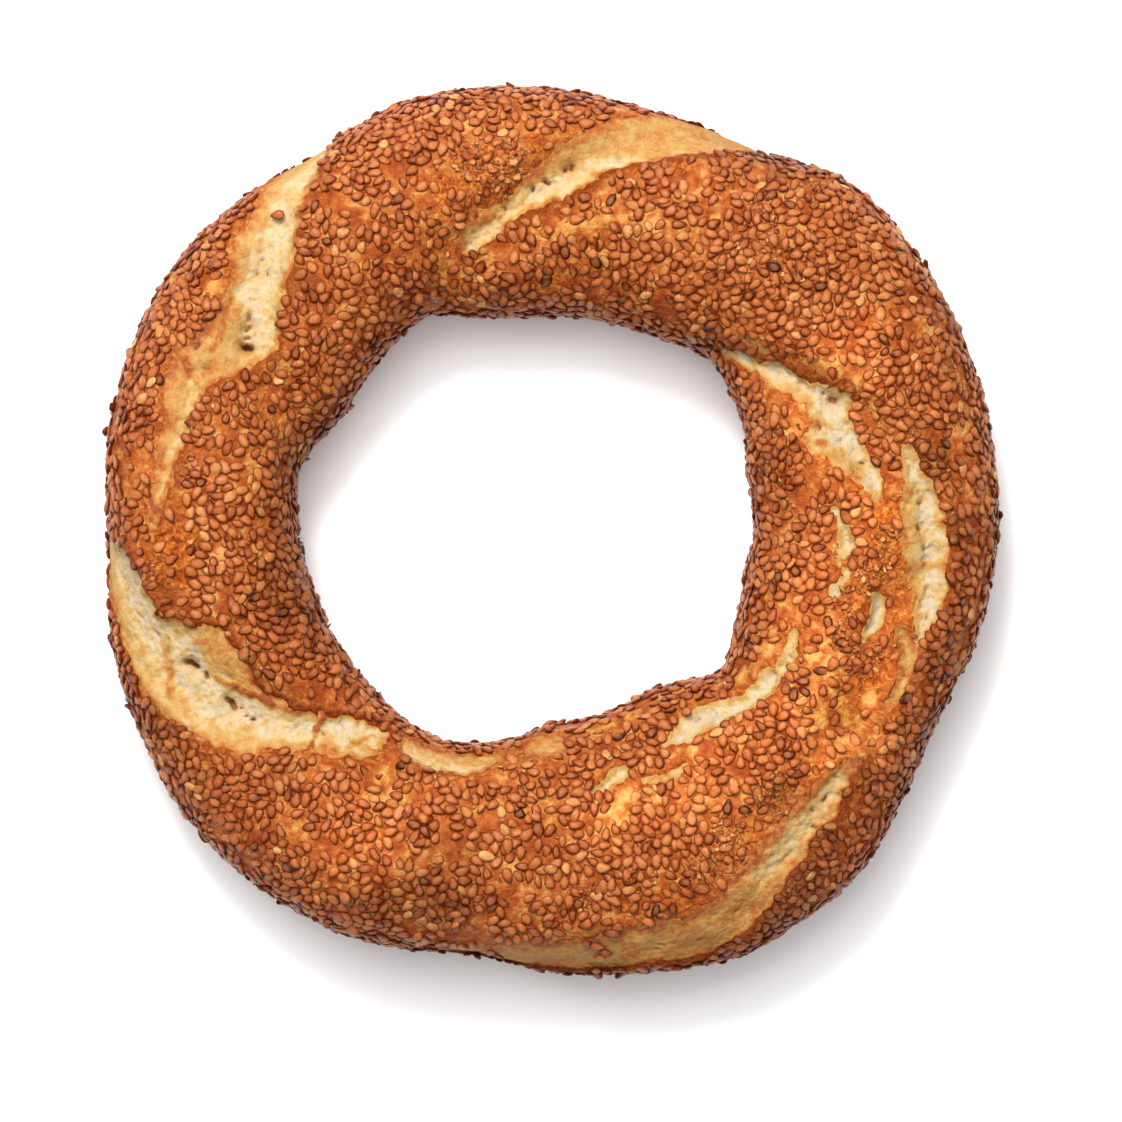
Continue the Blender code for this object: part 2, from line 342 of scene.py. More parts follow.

# Crust and seeds painted darker, for a deeper roast and as painted shade on the sides that face away from the light:
# the outer side at the right and below, and the walls of the hole. And lighter-baked ones: (direction, turn, reach in
# mm).
ROASTED_AND_SHADED = (
    (330, 6, 15), (300, 12, 20), (0, 4, 11), (26, 8, 10), (276, 4, 12), (180, 168, 15), (160, 165, 12), (312, 80, 7), (214, 112, 4), (136, 94, 4),
    (300, 30, 12), (58, 14, 12), (313, 50, 7), (305, 40, 8), (296, 28, 8), (287, 14, 7), (189, 68, 4), (203, 104, 4),
    (212, 114, 4), (222, 88, 4), (196, 150, 14), (252, 66, 12), (246, 60, 10), (0, 54, 6), (10, 60, 6), (206, 36, 6), (342, 40, 8), (320, 56, 6),
)
LIGHTLY_BAKED = (
    (340, 90, 22), (322, 98, 18), (2, 92, 18), (300, 104, 16), (20, 108, 12), (284, 108, 12), (348, 118, 14),
    (30, 84, 12), (240, 80, 12),
)

# Small clusters of seeds left on the crumb: (direction, turn, reach in mm).
SEED_ISLANDS = ((276, 38, 2.4), (262, 22, 2.2), (130.6, 53, 1.2))

# ---------------------------------------------------------------------------------------------------------
# Sizes of the looks
# ---------------------------------------------------------------------------------------------------------

COAT = 0.5 * MM  # how far the seeds stand out from the crust on average
SKIN_DIRECTIONS = 600
SKIN_TURNS_ABOVE = 126  # lines from the outer side over the crown to the hole's side
SKIN_TURNS_BELOW = 30
ABOVE_FROM, ABOVE_TO = -24, 204
CRUMB_STEP = 0.36 * MM
CRUMB_MARGIN = 1.7 * MM  # how far the crumb reaches under the crust
CRUMB_THICKNESS = 1.6 * MM
TEAR_WALL = 6.0 * MM  # how far the crust turns down into a tear
LIP = 0.25 * MM  # how far a tear's edge curls up

SEED_LENGTH = 2.92 * MM
SEED_WIDTH = 1.93 * MM
SEED_THICKNESS = 0.9 * MM
SEEDS_PER_MM2 = 0.173
SEEDS_BELOW = 0.4  # the share of them on the flat base
HEAPED_SHARE = 0.09  # the share of seeds that lie on others
FLAKES_PER_MM2 = 0.75
SETTLING_ROUNDS = 36

rng = np.random.default_rng(7)


# ---------------------------------------------------------------------------------------------------------
# The dough's surface
# ---------------------------------------------------------------------------------------------------------


def smooth(x, y, at):
    """A curve through the points x, y that never overshoots them, read at at."""
    step = np.diff(y) / np.diff(x)
    same_way = step[:-1] * step[1:] > 0
    inner = np.where(same_way, 2 * step[:-1] * step[1:] / (step[:-1] + step[1:] + 1e-12), 0)
    slope = np.concatenate([[step[0]], inner, [step[-1]]])
    i = np.clip(np.searchsorted(x, at, side="right") - 1, 0, len(x) - 2)
    width = x[i + 1] - x[i]
    t = (at - x[i]) / width
    start, end = y[i], y[i + 1]
    return (
        start * (1 + 2 * t) * (1 - t) ** 2
        + end * (3 - 2 * t) * t**2
        + width * (slope[i] * t * (1 - t) ** 2 - slope[i + 1] * (1 - t) * t**2)
    )


def round_ring(points, direction, gain=0.0):
    """points, (direction, value), read at direction. The value grows by gain with each trip round."""
    x, y = np.array(points, float).T
    x = np.concatenate([x - 360, x, x + 360])
    y = np.concatenate([y - gain, y, y + gain])
    order = np.argsort(x)
    trips = np.floor(direction / 360)
    return smooth(x[order], y[order], direction - 360 * trips) + gain * trips


def rope(direction):
    """The radius of the dough's middle line and half the dough's width, in metres."""
    outer = round_ring([(d, out) for d, out, _ in OUTLINE], direction)
    hole = round_ring([(d, inn) for d, _, inn in OUTLINE], direction)
    return (outer + hole) / 2 * MM, (outer - hole) / 2 * MM


def seams(direction):
    """The turn of each seam in degrees."""
    one = round_ring(SEAM_ONE, direction, gain=360 * SEAM_TURNS)
    two = round_ring(SEAM_TWO, direction, gain=360 * SEAM_TURNS)
    return one, one + (two - one) % 360


def seam_depth(direction, turn):
    """How deep the seams' valleys are at a place, in metres."""
    middle, half_width = rope(direction)
    depth = np.zeros_like(turn)
    for seam, ahead in zip(seams(direction), seams(direction + 1)):
        pitch = ((ahead - seam + 180) % 360 - 180) * half_width / middle
        away = ((turn - seam + 180) % 360 - 180) * np.radians(half_width) / np.sqrt(1 + pitch**2)
        away = away / SEAM_HALF_WIDTH
        depth += np.clip(1 - (away / (1 + SEAM_LEAN * np.sign(away))) ** 2, 0, 1) ** 1.5
    share = SIDE_SHARE + (1 - SIDE_SHARE) * np.sin(np.radians(turn)) ** 2
    return SEAM_DEPTH * share * depth


def risen(direction, turn):
    """The share of the seams' depth that is filled at a place, from the map made once."""
    column = (direction % 360) / 360 * RISEN_MAP.shape[0]
    line = (turn % 360) / 360 * RISEN_MAP.shape[1]
    c, l = np.floor(column).astype(int), np.floor(line).astype(int)
    u, v = column - c, line - l
    c, l = c % RISEN_MAP.shape[0], l % RISEN_MAP.shape[1]
    c1, l1 = (c + 1) % RISEN_MAP.shape[0], (l + 1) % RISEN_MAP.shape[1]
    first = RISEN_MAP[c, l] * (1 - u) + RISEN_MAP[c1, l] * u
    return first * (1 - v) + (RISEN_MAP[c, l1] * (1 - u) + RISEN_MAP[c1, l1] * u) * v


def dough(direction, turn, out=0.0, rest=0.0):
    """Points of the surface, moved out along the section's normal, with the flat base at height rest."""
    middle, half_width = rope(direction)
    height = CROWN_HEIGHT + STACK_RISE * np.cos(2 * np.radians(seams(direction)[0]))
    widest = WIDEST_AT * height
    across, up = np.cos(np.radians(turn)), np.sin(np.radians(turn))
    reach = np.where(up > 0, height - widest, widest * BASE_CUT)
    rise = (1 - np.abs(across) ** SECTION_POWER) ** (1 / SECTION_POWER)
    out_r = np.sign(across) * np.abs(across) ** (SECTION_POWER - 1) / half_width
    out_z = np.sign(up) * rise ** (SECTION_POWER - 1) / reach
    length = np.hypot(out_r, out_z)
    out_r, out_z = out_r / length, out_z / length

    sunk = seam_depth(direction, turn) * (1 - risen(direction, turn))
    r = middle + half_width * across + out * out_r
    z = widest + np.sign(up) * reach * rise + out * out_z
    z = z - sunk * out_z * (1 + STEEP_SIDE) / (out_z**2 + STEEP_SIDE)
    above = z - rest
    near_tray = np.clip(above + TRAY_ROUND, 0, 2 * TRAY_ROUND) ** 2 / (4 * TRAY_ROUND)
    z = rest + np.where(above > TRAY_ROUND, above, near_tray)
    angle = np.radians(direction)
    return np.stack([r * np.cos(angle), r * np.sin(angle), z], axis=-1) + OFFSET


def find_offset():
    """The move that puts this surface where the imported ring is."""
    direction, turn = np.meshgrid(np.arange(0, 360, 1.0), np.arange(0, 360, 5.0), indexing="ij")
    points = dough(direction, turn)
    low, high = points.min(axis=(0, 1)), points.max(axis=(0, 1))
    box_low, box_high = (np.array(corner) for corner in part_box(RING))
    return ((box_low + box_high) / 2 - (low + high) / 2) * (1, 1, 0)


RISEN_MAP = np.zeros((360, 120))
OFFSET = np.zeros(3)
OFFSET = find_offset()


def grain(points, size, seed=0.0):
    """Smooth noise from about -1 to 1 at the points, with swells of the given size."""
    scaled = points.reshape(-1, 3) / size + seed
    values = np.array([noise.noise(point) for point in scaled.tolist()])
    return values.reshape(points.shape[:-1])


def swell(points):
    """The unevenness of hand-rolled dough, in metres."""
    return (0.45 * grain(points, 16 * MM, 3.1) + 0.22 * grain(points, 6 * MM, 9.7)) * MM


def metric(direction, turn):
    """Metres of surface for one degree of direction and for one degree of turn."""
    middle, half_width = rope(direction)
    return np.radians(middle + half_width * np.cos(np.radians(turn))), np.radians(half_width)


def upright(turn):
    """The turn counted from -90 to 270, so that the outer side and the crown are one stretch."""
    return (turn + 90) % 360 - 90


def edge_distance(direction, turn, rows):
    """Signed distance in metres from places to the edge of one area, below zero inside it."""
    directions, low, high = np.array(rows, float).T
    centre = (directions[0] + directions[-1]) / 2
    direction = centre + (direction - centre + 180) % 360 - 180
    turn = upright(turn)
    per_direction, per_turn = metric(direction, turn)
    corners = np.concatenate([np.stack([directions, low], 1), np.stack([directions, high], 1)[::-1]])
    nearest = np.full(direction.shape, np.inf)
    for (d0, t0), (d1, t1) in zip(corners, np.roll(corners, -1, axis=0)):
        to_x, to_y = (d1 - d0) * per_direction, (t1 - t0) * per_turn
        x, y = (direction - d0) * per_direction, (turn - t0) * per_turn
        share = np.clip((x * to_x + y * to_y) / (to_x**2 + to_y**2 + 1e-18), 0, 1)
        nearest = np.minimum(nearest, np.hypot(x - share * to_x, y - share * to_y))
    inside = (turn > np.interp(direction, directions, low)) & (turn < np.interp(direction, directions, high))
    inside &= (direction > directions[0]) & (direction < directions[-1])
    return np.where(inside, -nearest, nearest)


def areas_distance(direction, turn, areas, far=9 * MM, edges=None):
    """Signed distance in metres to the nearest of several areas, no more than far.

    With edges, a pair of values for the two edges of each area, the nearest edge's value is given as well.
    """
    result = np.full(direction.shape, far)
    soft = np.zeros(direction.shape)
    window_direction, window_turn = np.degrees(far / (36 * MM)), np.degrees(far / (18 * MM))
    placed = upright(turn)
    for name, rows in areas.items():
        directions, low, high = np.array(rows, float).T
        centre, half = (directions[0] + directions[-1]) / 2, (directions[-1] - directions[0]) / 2
        ahead = (direction - centre + 180) % 360 - 180
        near = np.abs(ahead) < half + window_direction
        near &= (placed > low.min() - window_turn) & (placed < high.max() + window_turn)
        distance = edge_distance(direction[near], turn[near], rows)
        if edges is not None:
            there = centre + ahead[near]
            from_low = placed[near] - np.interp(there, directions, low)
            width = np.interp(there, directions, high - low) + 1e-6
            share = step_between(from_low / width, 0.2, 0.8)
            softness = edges[name][0] * (1 - share) + edges[name][1] * share
            soft[near] = np.where(distance < result[near], softness, soft[near])
        result[near] = np.minimum(result[near], distance)
    return result if edges is None else (result, soft)


def risen_map():
    """How full the seams are with risen crumb, over the whole ring, fading out beside the tears."""
    direction, turn = np.meshgrid(np.arange(0, 360, 1.0), np.arange(0, 360, 3.0), indexing="ij")
    filled = np.zeros(direction.shape)
    for name, share in RISEN.items():
        distance = areas_distance(direction, turn, {name: TEARS[name]}, far=9 * MM)
        filled = np.maximum(filled, share * step_between(distance, 6 * MM, 0.0))
    return filled


def spots(direction, turn, places):
    """How strongly places lie in a set of round spots, from 0 to 1."""
    strength = np.zeros(direction.shape)
    per_direction, per_turn = metric(direction, turn)
    for d, t, reach in places:
        x = ((direction - d + 180) % 360 - 180) * per_direction
        y = (upright(turn) - t) * per_turn
        strength = np.maximum(strength, np.clip(1 - (x**2 + y**2) / (reach * MM) ** 2, 0, 1))
    return strength


def baked(direction, turn):
    """How dark crust and seeds are painted, from -1 to 1: their roast, with painted shade on the sides that face away
    from the light. A broken edge catches the heat.
    """
    tear, soft = areas_distance(direction, turn, TEARS, far=6 * MM, edges=SOFT_EDGES)
    edge = (1 - soft) * step_between(tear, 3.5 * MM, 0.5 * MM)
    value = spots(direction, turn, ROASTED_AND_SHADED) - spots(direction, turn, LIGHTLY_BAKED) + 0.65 * edge
    return np.clip(value, -1, 1)


def ragged(points):
    """How a tear's edge wanders, in metres."""
    return (1.1 * grain(points, 3.4 * MM, 21) + 0.9 * grain(points, 1.3 * MM, 5)) * MM


def strand(direction, turn, d0, t0, d1, t1, half_width, wander):
    """How strongly places lie on a narrow strand between two places, from 0 to 1. wander is in metres."""
    per_direction, per_turn = metric(direction, turn)
    to_x, to_y = (d1 - d0) * per_direction, (t1 - t0) * per_turn
    x, y = ((direction - d0 + 180) % 360 - 180) * per_direction, (upright(turn) - t0) * per_turn
    share = np.clip((x * to_x + y * to_y) / (to_x**2 + to_y**2), 0, 1)
    away = np.hypot(x - share * to_x, y - share * to_y) + wander
    return step_between(away, 1.5 * half_width * MM, 0.3 * half_width * MM)


def step_between(value, low, high):
    """0 below low, 1 above high, smooth between; high may be below low."""
    t = np.clip((value - low) / (high - low), 0, 1)
    return t * t * (3 - 2 * t)


RISEN_MAP = risen_map()

# ---------------------------------------------------------------------------------------------------------
# Meshes
# ---------------------------------------------------------------------------------------------------------


def new_piece(name, points, faces, attributes, material):
    mesh = bpy.data.meshes.new(name)
    mesh.from_pydata(points.tolist(), [], faces.tolist() if hasattr(faces, "tolist") else faces)
    for label, values in attributes.items():
        layer = mesh.attributes.new(label, "FLOAT", "POINT")
        layer.data.foreach_set("value", np.asarray(values, np.float32))
    mesh.shade_smooth()
    mesh.materials.append(material)
    mesh.update()
    piece = bpy.data.objects.new(name, mesh)
    bpy.context.scene.collection.objects.link(piece)
    return piece


def make_crust(material):
    """The closed skin of the bread, from the outer side over the crown and round the base."""
    above = np.linspace(ABOVE_FROM, ABOVE_TO, SKIN_TURNS_ABOVE, endpoint=False)
    below = np.linspace(ABOVE_TO, ABOVE_FROM + 360, SKIN_TURNS_BELOW, endpoint=False)
    turns = np.concatenate([above, below])
    direction, turn = np.meshgrid(np.arange(SKIN_DIRECTIONS) * 360 / SKIN_DIRECTIONS, turns, indexing="ij")
    plain = dough(direction, turn)
    tear, soft = areas_distance(direction, turn, TEARS, edges=SOFT_EDGES)
    tear += ragged(plain)
    crushed = spots(direction, turn, CRUSHED)
    bare = spots(direction, turn, BARE_CRUST)
    hard_edge = (1 - soft) * step_between(tear, 3.0 * MM, 0.8 * MM)

    out = swell(plain) - COAT
    out += LIP * (1 - soft) * step_between(tear, 2.4 * MM, 0.9 * MM) * step_between(tear, -0.1 * MM, 0.6 * MM)
    out -= 0.25 * MM * soft * step_between(tear, 2.5 * MM, 0.0)
    out += 0.12 * MM * grain(plain, 3.0 * MM, 40)
    out += (0.3 * crushed + 0.3 * hard_edge) * MM * grain(plain, 1.4 * MM, 60)
    out += 0.25 * MM * bare
    out -= TEAR_WALL * step_between(tear, 0.25 * MM, -1.3 * MM)
    points = dough(direction, turn, out, rest=COAT * 0.9)

    n, m = direction.shape
    index = np.arange(n * m).reshape(n, m)
    ahead, over = np.roll(index, -1, axis=0), np.roll(index, -1, axis=1)
    both = np.roll(ahead, -1, axis=1)
    faces = np.stack([index, ahead, both, over], axis=-1).reshape(-1, 4)
    wander = tear + 0.9 * MM * grain(plain, 2.4 * MM, 25)
    reach = (1.2 + 1.6 * soft) * MM
    attributes = {
        "beside": step_between(wander, 1.7 * reach, 0.3 * reach),
        "stretched": soft * step_between(wander, 0.55 * reach, -0.3 * reach),
        "broken": (1 - soft) * step_between(wander, 2.2 * MM, 0.4 * MM),
        "sunk": step_between(tear, 0.0, -0.7 * MM),
        "bare": bare,
        "glaze": spots(direction, turn, GLAZE),
        "crushed": crushed,
        # The roast, with painted shade on the sides that face away from the light.
        "baked": baked(direction, turn),
    }
    attributes = {label: values.ravel() for label, values in attributes.items()}
    return new_piece("sesame_crust_skin", points.reshape(-1, 3), faces, attributes, material)


def bubbles(points):
    """Distances from the points to the nearest and second nearest bubble centre, in bubble sizes."""
    pairs = np.array([noise.voronoi(point)[0][:2] for point in points.tolist()])
    return pairs[:, 0], pairs[:, 1]


def make_crumb(material):
    """The torn inside of the bread: a thick closed sheet in each tear, whose rim lies under the crust."""
    middle, half_width = 66 * MM, 21.5 * MM
    step_d, step_t = np.degrees(CRUMB_STEP / middle), np.degrees(CRUMB_STEP / half_width)
    count = int(round(360 / step_d))
    direction, turn = np.meshgrid(
        np.arange(count) * 360 / count, np.arange(ABOVE_FROM + 4, ABOVE_TO - 20, step_t), indexing="ij"
    )
    tear = areas_distance(direction, turn, TEARS, far=5 * MM)
    inside = tear < CRUMB_MARGIN
    cell = inside & np.roll(inside, -1, axis=0)
    cell[:, :-1] &= cell[:, 1:]
    cell[:, -1] = False

    index = np.arange(direction.size).reshape(direction.shape)
    ahead = np.roll(index, -1, axis=0)
    quads = np.stack([index[:, :-1], ahead[:, :-1], ahead[:, 1:], index[:, 1:]], axis=-1)[cell[:, :-1]]
    used, quads = np.unique(quads, return_inverse=True)
    quads = quads.reshape(-1, 4)
    direction, turn = direction.ravel()[used], turn.ravel()[used]

    plain = dough(direction, turn)
    tear, soft = areas_distance(direction, turn, TEARS, far=5 * MM, edges=SOFT_EDGES)
    dryness = {name: (value, value) for name, value in DRIED.items()}
    browned = areas_distance(direction, turn, TEARS, far=5 * MM, edges=dryness)[1]
    tear += ragged(plain)
    deep = np.clip(-tear, 0, None)
    open_crumb = step_between(deep, 0, 1.2 * MM)
    pale = areas_distance(direction, turn, PALE_CRUMB, far=4 * MM) + 1.3 * ragged(plain)
    pale = step_between(pale, 1.1 * MM, -1.1 * MM)
    near, second = bubbles(plain / (1.6 * MM) + grain(plain, 2.5 * MM, 11)[:, None] * 0.6)
    hollow = step_between(near, 0.55, 0.12) * step_between(second - near, 0.0, 0.3)

    flush = 0.04 * MM - 0.25 * MM * step_between(tear, 2.5 * MM, 0.0)
    out = swell(plain) - COAT + soft * flush - (1 - soft) * 0.45 * MM
    out -= (0.8 - 0.4 * soft) * MM * (1 - np.exp(-deep / (1.6 * MM + 1.6 * MM * soft)))
    out -= 2.0 * np.clip(tear - (0.2 + 0.5 * soft) * MM, 0, None)
    out -= MM * open_crumb * (0.45 * pale + (0.10 + 0.34 * pale) * hollow)
    out += MM * open_crumb * (0.45 * grain(plain, 4.5 * MM, 31) + (0.10 + 0.08 * pale) * grain(plain, 1.6 * MM, 33))
    out += 0.10 * MM * grain(plain, 0.8 * MM, 50)

    edge = step_between(tear, -(0.9 + 1.9 * soft) * MM, (0.1 + 0.8 * soft) * MM)
    browned = browned * (1 - 0.62 * pale) + (0.42 - 0.12 * soft) * edge + 0.10 * grain(plain, 5 * MM, 71)
    for d, t, reach, more in BROWNER_CRUMB:
        browned += more * spots(direction, turn, ((d, t, reach),))
    for d0, t0, d1, t1, half_width, more, high in STRANDS:
        there = strand(direction, turn, d0, t0, d1, t1, half_width, 0.6 * MM * grain(plain, 1.7 * MM, 47))
        browned += more * there
        out += high * MM * there

    pore_shade = np.zeros_like(tear)
    # Painted shade in the crumb's hollows, deeper in the whitest crumb.
    shaded = hollow * (0.2 + 0.4 * pale)
    for d, t, reach, depth in HOLLOWS:
        there = spots(direction, turn, ((d, t, reach),))
        out -= depth * MM * there
        shaded = np.maximum(shaded, 0.65 * there)
    per_direction, per_turn = metric(direction, turn)
    # Each pore is cut as a bowl, painted dark inside, with painted shade in the dip round it.
    for d, t, radius, depth in PORES:
        x = ((direction - d + 180) % 360 - 180) * per_direction
        y = (turn - t) * per_turn
        shape = 1 + 0.35 * np.sin(2 * np.arctan2(y, x) + d)
        around = np.hypot(x, y) / (radius * MM * shape)
        bowl = np.clip(1.25 - around**2, 0, 1)
        dip = step_between(around, 3.2, 0.8) * min(depth / 1.4, 1)
        out -= (depth * bowl + 0.35 * dip) * MM
        pore_shade = np.maximum(pore_shade, bowl * min(depth / 1.1, 1))
        shaded = np.maximum(shaded, 0.5 * dip)

    top = dough(direction, turn, out)
    bottom = dough(direction, turn, np.minimum(out, -COAT) - CRUMB_THICKNESS)
    sides = rim_faces(quads, len(used))
    faces = quads.tolist() + (quads[:, ::-1] + len(used)).tolist() + sides
    # The hollow and pore measures are painted shade.
    both = {"browned": browned, "pore_shade": pore_shade, "hollow": shaded, "soft": soft}
    attributes = {label: np.concatenate([values, values]) for label, values in both.items()}
    return new_piece("torn_crumb", np.concatenate([top, bottom]), faces, attributes, material)


def rim_faces(quads, below):
    """Faces that join the open edges of quads to the same edges of a copy whose points come below later."""
    edges = np.concatenate([quads[:, [0, 1]], quads[:, [1, 2]], quads[:, [2, 3]], quads[:, [3, 0]]])
    twin = {(b, a) for a, b in edges.tolist()}
    return [(b, a, a + below, b + below) for a, b in edges.tolist() if (a, b) not in twin]


# ---------------------------------------------------------------------------------------------------------
# Where the seeds lie
# ---------------------------------------------------------------------------------------------------------


def frame_at(direction, turn, out, rest):
    """Points, outward normals and the surface's two tangents, each tangent for one degree."""
    at = dough(direction, turn, out, rest)
    step_d, step_t = 0.8, 2.5
    along = (dough(direction + step_d, turn, out, rest) - dough(direction - step_d, turn, out, rest)) / (2 * step_d)
    across = (dough(direction, turn + step_t, out, rest) - dough(direction, turn - step_t, out, rest)) / (2 * step_t)
    normal = np.cross(along, across)
    normal /= np.linalg.norm(normal, axis=-1, keepdims=True) + 1e-12
    return at, normal, along, across


def seeds_wanted(direction, turn):
    """The share of full cover that the seeds reach at a place."""
    tear, soft = areas_distance(direction, turn, TEARS, far=6 * MM, edges=SOFT_EDGES)
    share = step_between(tear - 1.2 * MM * soft, -0.1 * MM, 0.6 * MM + 1.6 * MM * soft)
    share = share * (1 - 0.95 * np.sqrt(spots(direction, turn, BARE_CRUST)))
    share = share * (1 - 0.8 * np.sqrt(spots(direction, turn, GLAZE)))
    share = share * (1 - 0.35 * spots(direction, turn, CRUSHED))
    strewn = grain(dough(direction, turn), 5.5 * MM, 90)
    share = share * (1.1 - 0.6 * step_between(strewn, 0.1, 0.5))
    share = np.maximum(share, (spots(direction, turn, SEED_ISLANDS) > 0) * 1.0)
    base = step_between(np.abs((turn - 270 + 180) % 360 - 180), 55, 35)
    return share * (1 - (1 - SEEDS_BELOW) * base)


def scatter(per_mm2, wanted):
    """Random directions and turns with per_mm2 places for each square millimetre of full cover."""
    side = 0.5
    direction, turn = np.meshgrid(np.arange(0, 360, side), np.arange(0, 360, side * 3), indexing="ij")
    _, _, along, across = frame_at(direction, turn, 0.0, 0.0)
    area = np.linalg.norm(np.cross(along, across), axis=-1) * side * side * 3 / MM**2
    mean = (area * per_mm2 * wanted(direction, turn)).ravel()
    counts = np.floor(mean + rng.random(mean.size)).astype(int)
    cell = np.repeat(np.arange(mean.size), counts)
    d = direction.ravel()[cell] + rng.random(cell.size) * side
    t = turn.ravel()[cell] + rng.random(cell.size) * side * 3
    return d % 360, t % 360


def touching(points, reach):
    """Index pairs of points closer than reach."""
    tree = kdtree.KDTree(len(points))
    for i, point in enumerate(points):
        tree.insert(point, i)
    tree.balance()
    pairs = [(i, j) for i, point in enumerate(points) for _, j, _ in tree.find_range(point, reach) if j > i]
    return np.array(pairs).T


def crowding(gap, lie_i, lie_j, length, width):
    """How far seeds overlap along gap, the vector from each i to its j, for their long axes."""
    distance = np.linalg.norm(gap, axis=-1) + 1e-9
    way = gap / distance[:, None]
    stretch = (length / width) ** 2
    chi = (stretch - 1) / (stretch + 1)
    a, b = (way * lie_i).sum(-1), (way * lie_j).sum(-1)
    c = (lie_i * lie_j).sum(-1)
    spread = 1 - chi / 2 * ((a + b) ** 2 / (1 + chi * c) + (a - b) ** 2 / (1 - chi * c))
    return width / np.sqrt(spread) - distance, way


def settle(direction, turn, spin, out, rest):
    """Move and turn the seeds a little at a time until they hardly overlap."""
    length, width = SEED_LENGTH * 0.93, SEED_WIDTH * 0.93
    for round_number in range(SETTLING_ROUNDS):
        at, normal, along, across = frame_at(direction, turn, out, rest)
        if round_number % 6 == 0:
            i, j = touching(at.tolist(), SEED_LENGTH * 1.25)
        east = along / np.linalg.norm(along, axis=-1, keepdims=True)
        north = np.cross(normal, east)
        gap = at[j] - at[i]
        if round_number % 4 == 2:
            spin = best_spin(spin, east, north, gap, i, j, length, width)
        lie = east * np.cos(spin)[:, None] + north * np.sin(spin)[:, None]
        overlap, way = crowding(gap, lie[i], lie[j], length, width)
        push = way * np.clip(overlap, 0, None)[:, None] * 0.42
        move = np.zeros_like(at)
        np.add.at(move, j, push)
        np.add.at(move, i, -push)
        far = np.linalg.norm(move, axis=-1, keepdims=True)
        move *= np.minimum(1, 0.5 * MM / (far + 1e-12))
        new_direction = direction + (move * along).sum(-1) / (along**2).sum(-1)
        new_turn = turn + (move * across).sum(-1) / ((across**2).sum(-1) + 1e-14)
        tear, soft = areas_distance(new_direction % 360, new_turn % 360, TEARS, far=6 * MM, edges=SOFT_EDGES)
        allowed = (tear > (0.2 + 1.0 * soft) * MM) | (spots(new_direction, new_turn, SEED_ISLANDS) > 0)
        direction = np.where(allowed, new_direction, direction) % 360
        turn = np.where(allowed, new_turn, turn) % 360
    at = dough(direction, turn, out, rest)
    overlap, _ = crowding(at[j] - at[i], lie[i], lie[j], length, width)
    worst = np.zeros(len(at))
    np.maximum.at(worst, i, overlap)
    return direction, turn, spin, worst


def best_spin(spin, east, north, gap, i, j, length, width):
    """Each seed's spin, or a nearby one that crowds its neighbours less."""
    best, least = spin, None
    for change in (0.0, -0.5, -0.2, 0.2, 0.5):
        tried = spin + change
        lie = east * np.cos(spin)[:, None] + north * np.sin(spin)[:, None]
        lie_tried = east * np.cos(tried)[:, None] + north * np.sin(tried)[:, None]
        total = np.zeros(len(spin))
        np.add.at(total, i, np.clip(crowding(gap, lie_tried[i], lie[j], length, width)[0], 0, None))
        np.add.at(total, j, np.clip(crowding(gap, lie[i], lie_tried[j], length, width)[0], 0, None))
        if least is None:
            least = total
            continue
        better = total < least - 1e-6
        best = np.where(better, tried, best)
        least = np.where(better, total, least)
    return best


def turned(normal, east, spin, tip, roll):
    """Euler angles that lay a seed's long axis, its own Z, along the surface and its flat face, Y, outwards."""
    angles = []
    for n, e, s, t, r in zip(normal, east, spin, tip, roll):
        n, e = Vector(n), Vector(e)
        lie = e * math.cos(s) + n.cross(e) * math.sin(s)
        side = n.cross(lie)
        base = Matrix((side, n, lie)).transposed()
        base = base @ Matrix.Rotation(t, 3, "X") @ Matrix.Rotation(r, 3, "Z")
        angles.append(tuple(base.to_euler()))
    return np.array(angles)


